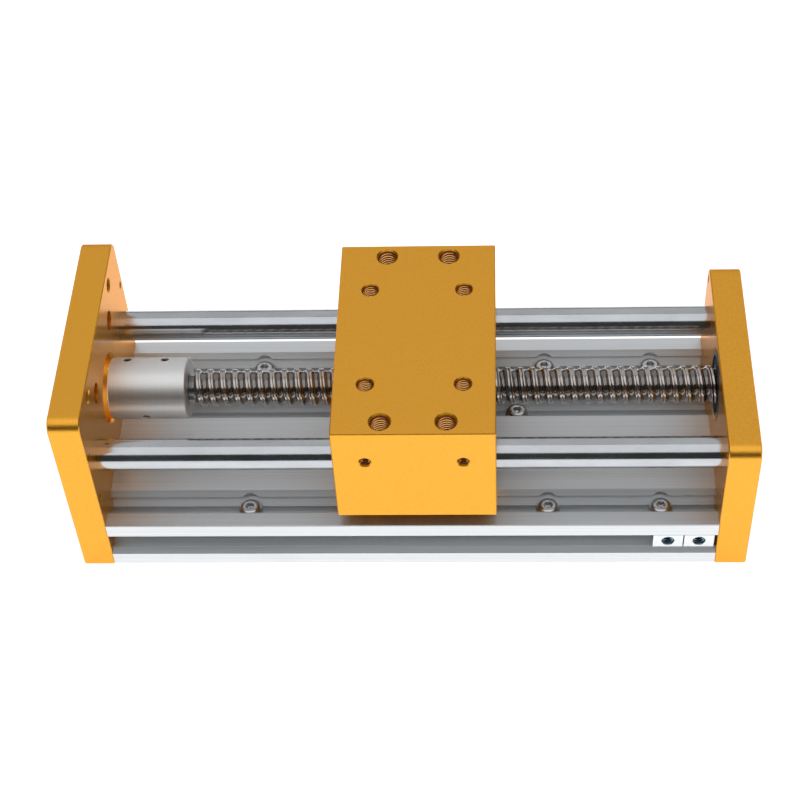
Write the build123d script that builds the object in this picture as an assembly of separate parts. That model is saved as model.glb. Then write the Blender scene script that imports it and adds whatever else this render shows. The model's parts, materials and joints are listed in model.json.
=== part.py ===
from build123d import *
import os
from math import radians, sin, sqrt

# Ball screw slide module: a slotted aluminium bed between two end plates, two guide rods,
# a ball screw turned through a shaft coupler, and a carriage that the ball nut drives.
# Millimetres. X runs along the screw from the motor end to the bearing end, Z is up.
# The origin is the middle of the overall length, on the screw's centre plane, at the underside.

# Bed, a slotted extrusion
bed_length = 195.0
bed_height = 20.0
bed_corner = 0.3
slot_count = 4
slot_pitch = 20.0
bed_width = slot_count * slot_pitch
slot_mouth = 9.5
slot_neck = 6.2
slot_lip = 1.8
slot_cavity = 11.0
slot_cavity_side = 1.6
slot_depth = 6.1
bed_web = 1.5
bed_bore_r = 2.1

# End plates
plate_thickness = 10.0
motor_plate_height = 70.0
bearing_plate_height = 55.5
plate_corner = 4.0
edge_break = 0.3
bore_chamfer = 0.8
side_hole_inset = 3.0
side_hole_rise = 10.0
side_hole_r = 1.25
side_hole_depth = 8.0

# Motor face: pilot recess, through bore and two square screw patterns
shaft_bore_r = 11.0
pilot_r = 19.05
pilot_depth = 2.0
large_motor_pitch = 47.14
large_motor_hole_r = 2.1
small_motor_pitch = 31.0
small_motor_hole_r = 1.7
small_motor_head_r = 3.25
small_motor_head_depth = 3.5

# Guide rods
axis_height = 41.5
rod_r = 5.0
rod_inset = 12.25
rod_seat = 5.0
rod_tap_depth = 14.0

# Ball screw
screw_r = 6.0
screw_lead = 4.0
screw_groove = 0.9
screw_land = 1.3
screw_flank = 0.75
screw_turn_phase = 121.5
journal_r = 4.0
journal_tip = 0.5

# Shaft coupler
coupler_r = 10.0
coupler_length = 25.0
coupler_gap = 1.0
coupler_motor_bore_r = 3.175
coupler_screw_bore_depth = 10.0
coupler_thread_gap = 2.0
coupler_chamfer = 0.5
set_screw_r = 2.0
set_screw_length = 5.5
set_screw_inset = 6.0
set_screw_sink = 0.4
set_screw_angle = 52.0
index_hole_r = 1.2
index_hole_depth = 3.0

# Screw support bearing, in the bearing end plate
bearing_outer_r = 11.0
bearing_width = 7.0
bearing_outer_wall = 1.6
bearing_inner_wall = 2.0
bearing_seal_thickness = 0.7
bearing_seal_inset = 0.3
bearing_exit_r = 8.0
circlip_thickness = 0.8
circlip_wall = 1.8
circlip_groove_depth = 0.25

# Carriage
carriage_length = 50.0
carriage_height = 40.0
carriage_underside = 25.5
carriage_centre = 2.6
top_outer_x = 10.0
top_outer_inset = 5.0
top_outer_r = 2.5
top_outer_depth = 13.0
top_inner_x = 15.0
top_inner_y = 20.0
top_inner_r = 2.1
top_inner_depth = 12.0
side_screw_x = 15.0
side_screw_drop = 13.4
side_screw_r = 1.65
side_screw_depth = 7.5
tap_chamfer = 0.5
drill_tip_slope = 0.577

# Ball nut
nut_r = 12.0
nut_length = 40.0
nut_flange_r = 20.0
nut_flange_width = 30.0
nut_flange_thickness = 10.0
nut_screw_circle_r = 16.0
nut_pocket_depth = 10.5
nut_wiper_r = 9.0
nut_wiper_length = 3.0
carriage_screw_way_r = 7.0

# Linear bearings of the carriage
linear_bearing_r = 9.5
linear_bearing_length = 29.0
linear_bearing_wall = 1.7
linear_bearing_groove_span = 22.0
linear_bearing_groove = 1.3
linear_bearing_groove_depth = 0.5
linear_seal_length = 2.0
bore_ring_depth = 0.5
bore_ring_wall = 2.0
bore_ring_thickness = 1.0
bore_ring_gap_angle = 50.0

# Screws: end plate and rod screws are M5, the rest M4
plate_screw_r = 2.5
plate_screw_head_r = 4.25
plate_screw_head = 5.0
plate_screw_reach = 15.0
plate_screw_socket = 4.0
rod_screw_head_r = 4.8
rod_screw_reach = 10.0
small_screw_r = 2.0
small_screw_head_r = 3.5
small_screw_head = 4.0
small_screw_length = 12.0
small_screw_socket = 3.0
set_screw_socket = 2.0
bed_screw_rows = (-52.0, 44.0, 80.0)
bed_screw_middle_row = 34.5

# Nuts that slide in the front slot of the bed
slot_nut_length = 9.5
slot_nut_gap = 0.35
slot_nut_end_gap = 0.8
slot_nut_hole_r = 1.65
slot_nut_depth = 3.7
slot_nut_recess = 1.2

# Clearances
press_gap = 0.01
thread_gap = 0.02
running_gap = 0.05
free_gap = 0.3
screw_hole_gap = 0.25
head_gap = 0.3

# Places that follow from the sizes above
motor_face = -bed_length / 2
bearing_face = bed_length / 2
motor_outside = motor_face - plate_thickness
bearing_outside = bearing_face + plate_thickness
rod_y = bed_width / 2 - rod_inset
rod_ys = (-rod_y, rod_y)
side_hole_y = bed_width / 2 - side_hole_inset
slot_ys = [(i - (slot_count - 1) / 2) * slot_pitch for i in range(slot_count)]
web_ys = [y + slot_pitch / 2 for y in slot_ys[:-1]]
slot_middle = bed_height / 2
coupler_start = motor_face + coupler_gap
coupler_end = coupler_start + coupler_length
thread_start = coupler_end + coupler_thread_gap
thread_end = bearing_face
bearing_back = bearing_face + bearing_width
circlip_start = bearing_back + running_gap
carriage_width = bed_width
top_outer_y = carriage_width / 2 - top_outer_inset
carriage_top = carriage_underside + carriage_height
carriage_left = carriage_centre - carriage_length / 2
carriage_right = carriage_centre + carriage_length / 2
flange_back = carriage_right - nut_pocket_depth
nut_start = flange_back + nut_flange_thickness - nut_length
cap_head_seat = bed_height - slot_depth


def bar(radius, x0, x1, y=0.0, z=axis_height):
    """Round bar along X."""
    return Pos((x0 + x1) / 2, y, z) * Rot(0, 90, 0) * Cylinder(radius, x1 - x0)


def tube(outer, inner, x0, x1, y=0.0, z=axis_height):
    """Round tube along X."""
    return bar(outer, x0, x1, y, z) - bar(inner, x0, x1, y, z)


def cone(r0, r1, x0, x1, y=0.0, z=axis_height):
    """Tapered bar along X, radius r0 at x0 and r1 at x1."""
    return Pos((x0 + x1) / 2, y, z) * Rot(0, 90, 0) * Cone(r0, r1, x1 - x0)


def prism(outline, x0, x1):
    """A sketch of the YZ plane, made solid between two places along X."""
    return extrude(Plane.YZ.offset(x0) * outline, x1 - x0, dir=(1, 0, 0))


def at_each(places, solid):
    """Copies of a solid moved to each place, as one group."""
    return [Pos(*place) * solid for place in places]


def square_pattern(pitch, x, centre=axis_height):
    """Four places on a square about the screw axis."""
    return [(x, sy * pitch / 2, centre + sz * pitch / 2) for sy in (-1, 1) for sz in (-1, 1)]


def side_hole_places(x):
    """Four places near the long edges of an end plate."""
    return [(x, sy * side_hole_y, axis_height + sz * side_hole_rise) for sy in (-1, 1) for sz in (-1, 1)]


def drilled(radius, depth, chamfer_size=0.0, tip=True):
    """Blind hole along -Z from the origin, with a drill point and a chamfered mouth."""
    hole = Pos(0, 0, -depth / 2) * Cylinder(radius, depth)
    if tip:
        point = radius * drill_tip_slope
        hole += Pos(0, 0, -depth - point / 2) * Cone(0.0, radius, point)
    if chamfer_size:
        hole += Pos(0, 0, -chamfer_size / 2) * Cone(radius, radius + chamfer_size, chamfer_size)
    return hole


def cap_screw(radius, head_r, head, length, socket):
    """Socket head cap screw along -Z, with the underside of its head at the origin."""
    body = Pos(0, 0, head / 2) * Cylinder(head_r, head)
    body += Pos(0, 0, -length / 2) * Cylinder(radius, length)
    key = extrude(Pos(0, 0, head / 2) * RegularPolygon(socket / sqrt(3), 6), head)
    return body - key


# Bed

def slot_outline():
    """One slot, mouth upward at the sketch's origin."""
    bevel = (slot_mouth - slot_neck) / 2
    slope = slot_depth - slot_lip - slot_cavity_side
    right = [
        (slot_mouth / 2 + bevel, bevel),
        (slot_neck / 2, -bevel),
        (slot_neck / 2, -slot_lip),
        (slot_cavity / 2, -slot_lip),
        (slot_cavity / 2, -slot_lip - slot_cavity_side),
        (slot_cavity / 2 - slope, -slot_depth),
    ]
    left = [(-x, y) for x, y in reversed(right)]
    return Polygon(*right, *left, align=None)


def chamber_outline():
    """Closed chamber between two neighbouring cells, centred on the sketch's origin."""
    half_height = bed_height / 2 - slot_lip
    half_neck = slot_pitch / 2 - slot_cavity / 2 - bed_web
    core = bed_height / 2 - slot_depth
    half_waist = slot_pitch / 2 - core
    knee = bed_height / 2 - slot_lip - slot_cavity_side - bed_web * (sqrt(2) - 1)
    low = knee - (half_waist - half_neck)
    corner = [(half_neck, half_height), (half_neck, knee), (half_waist, low)]
    right = corner + [(x, -y) for x, y in reversed(corner)]
    left = [(-x, y) for x, y in reversed(right)]
    return Polygon(*right, *left, align=None)


def bed_screw_places():
    """Places of the screws that hold the bed down, on the floors of the top slots."""
    outer = [(x, y, cap_head_seat) for x in bed_screw_rows for y in (slot_ys[0], slot_ys[-1])]
    middle = [(bed_screw_middle_row, y, cap_head_seat) for y in slot_ys[1:3]]
    return outer + middle


def base_profile():
    """Slotted extrusion: four slots above, four below and one on each side."""
    outline = Pos(0, slot_middle) * RectangleRounded(bed_width, bed_height, bed_corner)
    for y in slot_ys:
        outline -= Pos(y, bed_height) * slot_outline()
        outline -= Pos(y, 0) * Rot(0, 0, 180) * slot_outline()
        outline -= Pos(y, slot_middle) * Circle(bed_bore_r)
    outline -= Pos(bed_width / 2, slot_middle) * Rot(0, 0, -90) * slot_outline()
    outline -= Pos(-bed_width / 2, slot_middle) * Rot(0, 0, 90) * slot_outline()
    for y in web_ys:
        outline -= Pos(y, slot_middle) * chamber_outline()
    bed = prism(outline, motor_face, bearing_face)
    way = Cylinder(small_screw_r + screw_hole_gap, bed_height)
    head_way = Pos(0, 0, slot_depth) * Cylinder(small_screw_head_r + 2 * screw_hole_gap, 2 * slot_depth)
    bed -= at_each(bed_screw_places(), way + head_way)
    return bed


def bed_screws():
    """Cap screws whose heads stand on the slot floors."""
    screw = cap_screw(small_screw_r, small_screw_head_r, small_screw_head, small_screw_length, small_screw_socket)
    return at_each(bed_screw_places(), screw)


# End plates

def plate_blank(height, x0):
    """Plate with rounded top corners and broken edges."""
    outline = Pos(0, height / 2) * Rectangle(bed_width, height)
    outline = fillet(outline.vertices().group_by(Axis.Y)[-1], plate_corner)
    blank = prism(outline, x0, x0 + plate_thickness)
    rims = blank.faces().sort_by(Axis.X)
    return chamfer(rims[0].edges() + rims[-1].edges(), edge_break)


def shared_plate_holes(inside, outside):
    """Rod seats, rod and bed screw holes and small side holes, between the two faces of a plate."""
    outward = 1 if outside > inside else -1
    low, high = min(inside, outside), max(inside, outside)
    seat = inside + outward * rod_seat
    head = plate_screw_head + head_gap
    holes = []
    for y in rod_ys:
        holes.append(bar(rod_r + press_gap, min(inside, seat), max(inside, seat), y))
        holes.append(bar(plate_screw_r + screw_hole_gap, low, high, y))
        holes.append(countersink(outside, -outward, y))
    for y in slot_ys:
        holes.append(bar(plate_screw_r + screw_hole_gap, low, high, y, slot_middle))
        floor = outside - outward * head
        holes.append(bar(plate_screw_head_r + head_gap, min(outside, floor), max(outside, floor), y, slot_middle))
    inward_hole = Rot(0, outward * -90, 0) * drilled(side_hole_r, side_hole_depth)
    holes += at_each(side_hole_places(inside), inward_hole)
    return holes


def countersink(face, inward, y, gap=0.05):
    """Conical seat for a flat head screw, its wide end on a plate's outer face."""
    wide = rod_screw_head_r + gap
    deep = wide - plate_screw_r
    if inward > 0:
        return cone(wide, plate_screw_r, face, face + deep, y)
    return cone(plate_screw_r, wide, face - deep, face, y)


def motor_end_plate():
    """Tall plate that carries the motor, with its pilot recess outside."""
    plate = plate_blank(motor_plate_height, motor_outside)
    plate -= shared_plate_holes(motor_face, motor_outside)
    plate -= bar(shaft_bore_r, motor_outside, motor_face)
    plate -= cone(shaft_bore_r, shaft_bore_r + bore_chamfer, motor_face - bore_chamfer, motor_face)
    plate -= bar(pilot_r, motor_outside, motor_outside + pilot_depth)
    for x, y, z in square_pattern(large_motor_pitch, motor_face):
        plate -= bar(large_motor_hole_r, motor_outside, motor_face, y, z)
        plate -= cone(large_motor_hole_r, large_motor_hole_r + tap_chamfer, x - tap_chamfer, x, y, z)
    for x, y, z in square_pattern(small_motor_pitch, motor_face):
        plate -= bar(small_motor_hole_r, motor_outside, motor_face, y, z)
        plate -= bar(small_motor_head_r, x - small_motor_head_depth, x, y, z)
    return plate


def bearing_end_plate():
    """Low plate that holds the screw's support bearing in a pocket."""
    plate = plate_blank(bearing_plate_height, bearing_face)
    plate -= shared_plate_holes(bearing_face, bearing_outside)
    plate -= bar(bearing_outer_r + press_gap, bearing_face, bearing_back)
    plate -= cone(bearing_outer_r + bore_chamfer, bearing_outer_r, bearing_face, bearing_face + bore_chamfer)
    plate -= bar(bearing_exit_r, bearing_back, bearing_outside)
    return plate


def end_plate_screws():
    """Cap screws through both plates into the bores of the bed."""
    neck = plate_thickness - plate_screw_head - head_gap
    screw = cap_screw(plate_screw_r, plate_screw_head_r, plate_screw_head, neck, plate_screw_socket)
    screw += Pos(0, 0, -neck - plate_screw_reach / 2) * Cylinder(bed_bore_r - thread_gap, plate_screw_reach)
    screws = []
    for y in slot_ys:
        screws.append(Pos(bearing_face + neck, y, slot_middle) * Rot(0, 90, 0) * screw)
        screws.append(Pos(motor_face - neck, y, slot_middle) * Rot(0, -90, 0) * screw)
    return screws


# Guide rods

def guide_rod(y):
    """Ground rod, tapped at both ends."""
    start, end = motor_face - rod_seat, bearing_face + rod_seat
    rod = bar(rod_r, start, end, y)
    rod = chamfer(rod.edges().filter_by(GeomType.CIRCLE), 2 * edge_break)
    rod -= bar(bed_bore_r, start, start + rod_tap_depth, y)
    rod -= bar(bed_bore_r, end - rod_tap_depth, end, y)
    return rod


def rod_end_screws():
    """Flat head screws that pull the rods into their seats."""
    deep = rod_screw_head_r - plate_screw_r
    web = plate_thickness - rod_seat
    head = Pos(0, 0, -deep / 2) * Cone(plate_screw_r, rod_screw_head_r, deep)
    screw = head + Pos(0, 0, -web / 2) * Cylinder(plate_screw_r, web)
    screw += Pos(0, 0, -web - rod_screw_reach / 2) * Cylinder(bed_bore_r - thread_gap, rod_screw_reach)
    screw -= extrude(RegularPolygon(small_screw_socket / sqrt(3), 6), -deep)
    screws = []
    for y in rod_ys:
        screws.append(Pos(bearing_outside, y, axis_height) * Rot(0, 90, 0) * screw)
        screws.append(Pos(motor_outside, y, axis_height) * Rot(0, -90, 0) * screw)
    return screws


# Ball screw

def thread_profile():
    """Places along the lead and radii of the land and the groove, for one turn."""
    return [
        (0.0, screw_r),
        (screw_land, screw_r),
        (screw_land + screw_flank, screw_r - screw_groove),
        (screw_lead - screw_flank, screw_r - screw_groove),
    ]


def threaded_bar(length):
    """Right-hand grooved bar along +Z from the origin, built of helical strips one turn long."""
    profile = thread_profile()
    turns = int(length / screw_lead) + 2
    curves = {}
    for turn in range(turns + 1):
        for i, (rise, radius) in enumerate(profile):
            if turn < turns or i == 0:
                foot = (0, 0, rise + turn * screw_lead)
                curves[i, turn] = Edge.make_helix(screw_lead, screw_lead, radius, foot)
    strips = []
    for turn in range(turns):
        for i in range(len(profile)):
            following = curves[i + 1, turn] if i + 1 < len(profile) else curves[0, turn + 1]
            strips.append(Face.make_surface_from_curves(curves[i, turn], following))
    for turn in (0, turns):
        foot = turn * screw_lead
        core = Edge.make_line((0, 0, foot), (0, 0, foot + screw_lead))
        strips.append(Face.make_surface_from_curves(curves[0, turn], core))
        rim = [(radius, 0, foot + rise) for rise, radius in profile]
        corners = [(0, 0, foot), *rim, (screw_r, 0, foot + screw_lead), (0, 0, foot + screw_lead)]
        strips.append(Face(Wire.make_polygon(corners, close=True)))
    whole = Solid(Shell(Face.sew_faces(strips)[0]))
    trim = Pos(0, 0, screw_lead + length / 2) * Cylinder(2 * screw_r, length)
    return Pos(0, 0, -screw_lead) * (Part() + whole & trim)


def ball_screw():
    """Grooved screw with a plain journal at each end and a circlip groove at the bearing end."""
    length = thread_end - thread_start
    thread = Pos(thread_start, 0, axis_height) * Rot(0, 90, 0) * Rot(0, 0, screw_turn_phase) * threaded_bar(length)
    shaft = bar(journal_r, coupler_end - coupler_screw_bore_depth + journal_tip, thread_start)
    shaft += bar(journal_r, thread_end, bearing_outside - journal_tip)
    groove_end = circlip_start + circlip_thickness + running_gap
    shaft -= tube(2 * journal_r, journal_r - circlip_groove_depth, circlip_start, groove_end)
    return thread + shaft


def screw_circlip():
    """Open ring in the groove outside the support bearing."""
    inner = journal_r - circlip_groove_depth + press_gap
    ring = tube(journal_r + circlip_wall, inner, circlip_start, circlip_start + circlip_thickness)
    mouth = Pos(circlip_start, 0, axis_height - journal_r) * Box(4 * circlip_thickness, journal_r, 2 * journal_r)
    return ring - mouth


# Coupler

def set_screw_turns():
    """Turn about the screw axis of each row of set screws, two rows a quarter turn apart."""
    return (set_screw_angle, set_screw_angle - 90.0)


def set_screw_axes():
    """Locations on the coupler's surface, with Z pointing outward."""
    spots = []
    for turn in set_screw_turns():
        outward = Pos(0, 0, axis_height) * Rot(turn - 90.0, 0, 0)
        for x in (coupler_start + set_screw_inset, coupler_end - set_screw_inset):
            spots.append(outward * Pos(x, 0, coupler_r))
    return spots


def shaft_coupler():
    """Rigid coupler, bored for the motor shaft on one side and the screw journal on the other."""
    body = bar(coupler_r, coupler_start, coupler_end)
    body = chamfer(body.edges().filter_by(GeomType.CIRCLE), coupler_chamfer)
    split = coupler_end - coupler_screw_bore_depth
    body -= bar(journal_r + press_gap, split, coupler_end)
    body -= bar(coupler_motor_bore_r, coupler_start, split)
    for spot in set_screw_axes():
        body -= spot * Pos(0, 0, -coupler_r / 2) * Cylinder(set_screw_r, coupler_r)
    middle = (coupler_start + coupler_end) / 2
    index = Pos(0, 0, axis_height) * Rot(set_screw_angle + 90.0, 0, 0) * Pos(middle, 0, coupler_r)
    body -= index * Pos(0, 0, -index_hole_depth / 2) * Cylinder(index_hole_r, index_hole_depth)
    return body


def coupler_set_screws():
    """Socket set screws, a little below the coupler's surface."""
    plug = Pos(0, 0, -set_screw_length / 2) * Cylinder(set_screw_r - thread_gap, set_screw_length)
    plug -= extrude(RegularPolygon(set_screw_socket / sqrt(3), 6), -set_screw_length / 2)
    return [spot * Pos(0, 0, -set_screw_sink) * plug for spot in set_screw_axes()]


# Support bearing

def bearing_outer_ring():
    """Outer ring, pressed into the bearing end plate."""
    inner = bearing_outer_r - bearing_outer_wall
    return tube(bearing_outer_r, inner, bearing_face, bearing_back)


def bearing_inner_ring():
    """Inner ring, on the journal between the thread's shoulder and the circlip."""
    return tube(journal_r + bearing_inner_wall, journal_r + press_gap, bearing_face, bearing_back)


def bearing_seals():
    """Two ring seals between the bearing's rings, carried by the outer one."""
    outer = bearing_outer_r - bearing_outer_wall - press_gap
    inner = journal_r + bearing_inner_wall + running_gap
    starts = (bearing_face + bearing_seal_inset, bearing_back - bearing_seal_inset - bearing_seal_thickness)
    return [tube(outer, inner, x, x + bearing_seal_thickness) for x in starts]


def bearing_ball_cage():
    """Ring that stands for the caged balls between the seals."""
    outer = bearing_outer_r - bearing_outer_wall - free_gap
    inner = journal_r + bearing_inner_wall + free_gap
    inset = bearing_seal_inset + bearing_seal_thickness + free_gap
    return tube(outer, inner, bearing_face + inset, bearing_back - inset)


# Carriage

def top_hole_places(x, y):
    """Four places on the carriage's top face."""
    return [(carriage_centre + sx * x, sy * y, carriage_top) for sx in (-1, 1) for sy in (-1, 1)]


def nut_screw_places(x):
    """Four places on the nut's screw circle, at 45 degrees."""
    step = nut_screw_circle_r / sqrt(2)
    return [(x, sy * step, axis_height + sz * step) for sy in (-1, 1) for sz in (-1, 1)]


def ring_groove_starts():
    """Where the retaining rings beside a linear bearing begin."""
    half = linear_bearing_length / 2 + running_gap
    return (carriage_centre - half - bore_ring_thickness, carriage_centre + half)


def carriage_block():
    """Block with tapped faces, two bearing bores and a stepped bore for the ball nut."""
    size = (carriage_length, carriage_width, carriage_height)
    block = Pos(carriage_centre, 0, carriage_underside + carriage_height / 2) * Box(*size)
    block = chamfer(block.edges(), edge_break)
    for y in rod_ys:
        block -= bar(linear_bearing_r + press_gap, carriage_left, carriage_right, y)
        for start in ring_groove_starts():
            end = start + bore_ring_thickness + running_gap
            block -= bar(linear_bearing_r + bore_ring_depth + running_gap, start - running_gap, end, y)
    block -= bar(carriage_screw_way_r, carriage_left, carriage_right)
    block -= bar(nut_r + press_gap, nut_start - free_gap, carriage_right)
    outline = nut_flange_outline(free_gap) + Pos(0, -nut_flange_r) * Rectangle(
        nut_flange_width + 2 * free_gap, 2 * nut_flange_r)
    block -= prism(Pos(0, axis_height) * outline, flange_back, carriage_right)
    block -= at_each(top_hole_places(top_outer_x, top_outer_y), drilled(top_outer_r, top_outer_depth, tap_chamfer))
    block -= at_each(top_hole_places(top_inner_x, top_inner_y), drilled(top_inner_r, top_inner_depth, tap_chamfer))
    side_hole = drilled(side_screw_r, side_screw_depth, tap_chamfer)
    for sx in (-1, 1):
        spot = (carriage_centre + sx * side_screw_x, carriage_top - side_screw_drop)
        block -= Pos(spot[0], -carriage_width / 2, spot[1]) * Rot(90, 0, 0) * side_hole
        block -= Pos(spot[0], carriage_width / 2, spot[1]) * Rot(-90, 0, 0) * side_hole
    for x, y, z in nut_screw_places(flange_back):
        block -= bar(small_screw_r, x - small_screw_length, x, y, z)
    return block


def nut_flange_outline(gap=0.0):
    """Round flange with a flat on each side."""
    return Circle(nut_flange_r + gap) & Rectangle(nut_flange_width + 2 * gap, 3 * nut_flange_r)


def ball_nut():
    """Flanged nut, its flange in the carriage's end pocket."""
    flange_front = flange_back + nut_flange_thickness
    nut = bar(nut_r, nut_start, flange_back)
    nut += prism(Pos(0, axis_height) * nut_flange_outline(), flange_back, flange_front)
    nut -= bar(screw_r + free_gap, nut_start, flange_front)
    for start in (nut_start, flange_front - nut_wiper_length):
        nut -= bar(nut_wiper_r, start, start + nut_wiper_length)
    head_seat = flange_front - small_screw_head - head_gap
    for x, y, z in nut_screw_places(flange_back):
        nut -= bar(small_screw_r + screw_hole_gap, x, flange_front, y, z)
        nut -= bar(small_screw_head_r + head_gap, head_seat, flange_front, y, z)
    return nut


def nut_wipers():
    """Ring wipers in both mouths of the nut."""
    starts = (nut_start, flange_back + nut_flange_thickness - nut_wiper_length)
    inner = screw_r + running_gap
    return [tube(nut_wiper_r - press_gap, inner, x, x + nut_wiper_length) for x in starts]


def nut_screws():
    """Cap screws that hold the nut's flange to the carriage."""
    head_seat = flange_back + nut_flange_thickness - small_screw_head - head_gap
    radius = small_screw_r - thread_gap
    screw = cap_screw(radius, small_screw_head_r, small_screw_head, small_screw_length, small_screw_socket)
    return [Pos(*place) * Rot(0, 90, 0) * screw for place in nut_screw_places(head_seat)]


def linear_bearing_shell(y):
    """Hardened shell with a retaining groove near each end."""
    start = carriage_centre - linear_bearing_length / 2
    end = carriage_centre + linear_bearing_length / 2
    shell = tube(linear_bearing_r, linear_bearing_r - linear_bearing_wall, start, end, y)
    for side in (-1, 1):
        middle = carriage_centre + side * (linear_bearing_groove_span - linear_bearing_groove) / 2
        half = linear_bearing_groove / 2
        shell -= tube(2 * linear_bearing_r, linear_bearing_r - linear_bearing_groove_depth, middle - half, middle + half, y)
    return shell


def linear_bearing_retainer(y):
    """Sleeve that holds the balls against the rod."""
    half = linear_bearing_length / 2 - linear_seal_length
    outer = linear_bearing_r - linear_bearing_wall - press_gap
    return tube(outer, rod_r + running_gap, carriage_centre - half, carriage_centre + half, y)


def linear_bearing_seals():
    """Lip seals at both ends of both linear bearings."""
    outer = linear_bearing_r - linear_bearing_wall - press_gap
    half = linear_bearing_length / 2
    seals = []
    for y in rod_ys:
        for start in (carriage_centre - half, carriage_centre + half - linear_seal_length):
            seals.append(tube(outer, rod_r + running_gap, start, start + linear_seal_length, y))
    return seals


def carriage_retaining_rings():
    """Open rings that hold the linear bearings in the carriage."""
    outer = linear_bearing_r + bore_ring_depth
    reach = 2 * linear_bearing_r
    rings = []
    for y in rod_ys:
        for start in ring_groove_starts():
            ring = tube(outer, outer - bore_ring_wall, start, start + bore_ring_thickness, y)
            half = radians(bore_ring_gap_angle / 2)
            wedge = Polygon((0, 0), (-reach * sin(half), -reach), (reach * sin(half), -reach), align=None)
            rings.append(ring - prism(Pos(y, axis_height) * wedge, start - 1, start + bore_ring_thickness + 1))
    return rings


# Slot nuts

def slot_nut(start):
    """Nut that fills the neck and the cavity of the bed's front slot."""
    neck = slot_neck / 2 - 2 * running_gap
    shoulder = slot_lip + 2 * running_gap
    half = slot_cavity / 2 - free_gap
    knee = slot_lip + slot_cavity_side - running_gap
    deep = slot_lip + slot_nut_depth
    right = [
        (neck, -slot_nut_recess),
        (neck, -shoulder),
        (half, -shoulder),
        (half, -knee),
        (half - (deep - knee), -deep),
    ]
    left = [(-x, y) for x, y in reversed(right)]
    outline = Pos(-bed_width / 2, slot_middle) * Rot(0, 0, 90) * Polygon(*right, *left, align=None)
    nut = prism(outline, start, start + slot_nut_length)
    hole = Rot(90, 0, 0) * Cylinder(slot_nut_hole_r, bed_width)
    return nut - Pos(start + slot_nut_length / 2, 0, slot_middle) * hole


last_nut = bearing_face - slot_nut_end_gap - slot_nut_length
nodes = {
    "base_profile": [base_profile()],
    "bed_screws": bed_screws(),
    "motor_end_plate": [motor_end_plate()],
    "bearing_end_plate": [bearing_end_plate()],
    "end_plate_screws": end_plate_screws(),
    "guide_rod_front": [guide_rod(rod_ys[0])],
    "guide_rod_rear": [guide_rod(rod_ys[1])],
    "rod_end_screws": rod_end_screws(),
    "ball_screw": [ball_screw()],
    "screw_circlip": [screw_circlip()],
    "shaft_coupler": [shaft_coupler()],
    "coupler_set_screws": coupler_set_screws(),
    "bearing_outer_ring": [bearing_outer_ring()],
    "bearing_inner_ring": [bearing_inner_ring()],
    "bearing_seals": bearing_seals(),
    "bearing_ball_cage": [bearing_ball_cage()],
    "carriage_block": [carriage_block()],
    "ball_nut": [ball_nut()],
    "nut_wipers": nut_wipers(),
    "nut_screws": nut_screws(),
    "linear_bearing_front": [linear_bearing_shell(rod_ys[0])],
    "linear_bearing_rear": [linear_bearing_shell(rod_ys[1])],
    "bearing_retainer_front": [linear_bearing_retainer(rod_ys[0])],
    "bearing_retainer_rear": [linear_bearing_retainer(rod_ys[1])],
    "linear_bearing_seals": linear_bearing_seals(),
    "carriage_retaining_rings": carriage_retaining_rings(),
    "slot_nut_inner": [slot_nut(last_nut - slot_nut_gap - slot_nut_length)],
    "slot_nut_outer": [slot_nut(last_nut)],
}

os.makedirs("parts", exist_ok=True)
for name, pieces in nodes.items():
    solids = [solid for piece in pieces for solid in piece.solids()]
    shape = solids[0] if len(solids) == 1 else Compound(children=solids)
    export_step(shape, f"parts/{name}.step")
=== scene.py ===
import json
import math
from collections import namedtuple
import bmesh
import bpy
from bpy.props import FloatProperty, FloatVectorProperty, IntProperty, PointerProperty
from bpy.types import Operator, Panel, PropertyGroup
from mathutils import Matrix, Vector

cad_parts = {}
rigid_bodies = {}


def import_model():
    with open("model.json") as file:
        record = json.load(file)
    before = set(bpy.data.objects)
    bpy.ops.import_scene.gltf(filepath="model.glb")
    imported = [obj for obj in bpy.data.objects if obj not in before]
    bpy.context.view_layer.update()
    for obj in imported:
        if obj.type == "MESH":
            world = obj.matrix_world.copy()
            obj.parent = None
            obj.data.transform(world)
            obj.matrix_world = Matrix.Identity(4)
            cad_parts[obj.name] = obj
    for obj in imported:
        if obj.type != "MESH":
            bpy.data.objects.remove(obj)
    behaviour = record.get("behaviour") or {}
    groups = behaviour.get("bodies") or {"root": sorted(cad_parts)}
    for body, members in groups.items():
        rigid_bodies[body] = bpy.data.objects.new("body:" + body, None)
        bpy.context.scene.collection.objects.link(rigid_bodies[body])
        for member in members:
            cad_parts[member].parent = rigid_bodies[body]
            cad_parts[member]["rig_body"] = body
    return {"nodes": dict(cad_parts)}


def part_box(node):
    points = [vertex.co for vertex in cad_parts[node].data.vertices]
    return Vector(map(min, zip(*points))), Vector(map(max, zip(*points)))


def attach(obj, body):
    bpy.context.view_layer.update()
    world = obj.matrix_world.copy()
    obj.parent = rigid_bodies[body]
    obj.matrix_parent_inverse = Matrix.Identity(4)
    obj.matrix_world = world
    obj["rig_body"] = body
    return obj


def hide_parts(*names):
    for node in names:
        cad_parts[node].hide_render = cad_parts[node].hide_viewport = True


bl_info = {
    "name": "Ball screw slide",
    "version": (1, 0, 0),
    "blender": (4, 5, 0),
    "location": "3D View > Sidebar > Slide",
    "description": "Finishes, fine pieces and studio of a ball screw slide",
    "category": "Object",
}

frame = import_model()
MM = 0.001
CARRIAGE_LOW, CARRIAGE_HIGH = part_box("carriage_block")
CARRIAGE_MIDDLE = (CARRIAGE_LOW + CARRIAGE_HIGH) / 2
MOTOR_PLATE_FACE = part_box("motor_end_plate")[1].x
BEARING_PLATE_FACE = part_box("bearing_end_plate")[0].x
COUPLER_LOW, COUPLER_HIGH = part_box("shaft_coupler")
AXIS_HEIGHT = (COUPLER_LOW.z + COUPLER_HIGH.z) / 2


# Settings

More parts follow.
